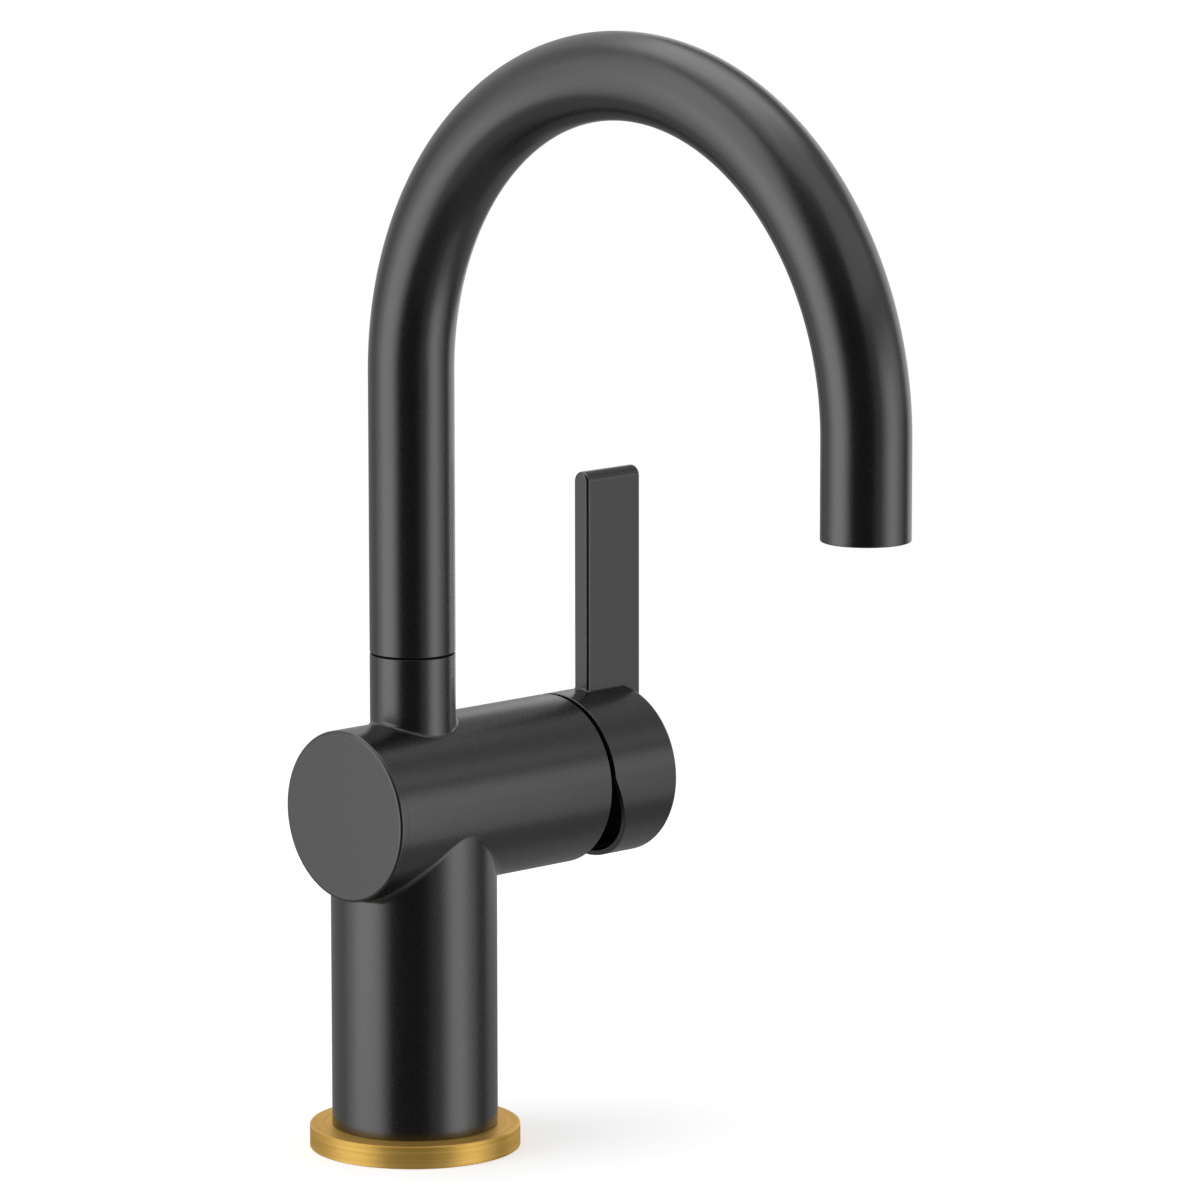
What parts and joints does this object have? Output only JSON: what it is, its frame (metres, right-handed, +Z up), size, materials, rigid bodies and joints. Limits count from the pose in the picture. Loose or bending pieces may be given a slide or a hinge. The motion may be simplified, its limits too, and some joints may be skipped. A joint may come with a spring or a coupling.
{
  "type": "gooseneck bar faucet",
  "caption": "Single-lever gooseneck bar faucet: a column on a brass ring, a horizontal cartridge hub with an upright flat lever, and a swivelling arched spout.",
  "frame": {"origin": "on the deck plane, on the axis of the column and of the spout's swivel", "axes": "+Z up, the spout reaches out towards -Y, the cartridge hub runs along X with the handle on its +X end"},
  "size_m": [0.1197, 0.2274, 0.3338],
  "materials": {
    "matte_black": "satin matte black coating",
    "brushed_brass": "brushed round the ring",
    "plain_brass": "as turned",
    "steel": "as turned",
    "ceramic": "lapped white ceramic",
    "white_plastic": "moulded",
    "black_plastic": "moulded",
    "rubber": "plain"
  },
  "bodies": {
    "base": {"base_ring": "brushed_brass", "base_gasket": "rubber", "faucet_body": "matte_black", "hub_end_cap": "matte_black", "port_seal": "rubber", "cartridge_base": "white_plastic", "cartridge_o_ring": "rubber", "fixed_disc": "ceramic", "cartridge_housing": "white_plastic", "cartridge_nut": "plain_brass", "dome_cover": "matte_black"},
    "mixer": {"rotor": "white_plastic", "stem_pin": "steel"},
    "flow_disc": {"moving_disc": "ceramic", "disc_carrier": "white_plastic"},
    "lever": {"handle": "matte_black", "stem": "steel", "handle_adapter": "black_plastic", "set_screw": "steel"},
    "spout": {"spout_tube": "matte_black", "spout_shank": "plain_brass", "spout_o_ring_upper": "rubber", "spout_o_ring_lower": "rubber", "spout_retaining_clip": "steel", "spout_glide_washer": "black_plastic", "outlet_sleeve": "plain_brass", "aerator_housing": "black_plastic", "aerator_insert": "black_plastic", "aerator_washer": "rubber"}
  },
  "joints": [
    {"name": "spout_swivel", "type": "hinge", "parent": "base", "child": "spout", "pos_m": [0, 0, 0.1466], "axis": [0, 0, 1], "continuous": true},
    {"name": "temperature_turn", "type": "hinge", "parent": "base", "child": "mixer", "pos_m": [0.044, 0, 0.1018], "axis": [1, 0, 0], "range_deg": [-45, 45]},
    {"name": "flow_tilt", "type": "hinge", "parent": "mixer", "child": "lever", "pos_m": [0.044, 0, 0.1018], "axis": [0, 1, 0], "range_deg": [0, 20]},
    {"name": "disc_slide", "type": "slide", "parent": "mixer", "child": "flow_disc", "axis": [0, 0, 1], "range_m": [0, 0.0021]}
  ],
  "couplings": [
    {"joint": "disc_slide", "follows": "flow_tilt", "m_per_rad": 0.0058}
  ]
}
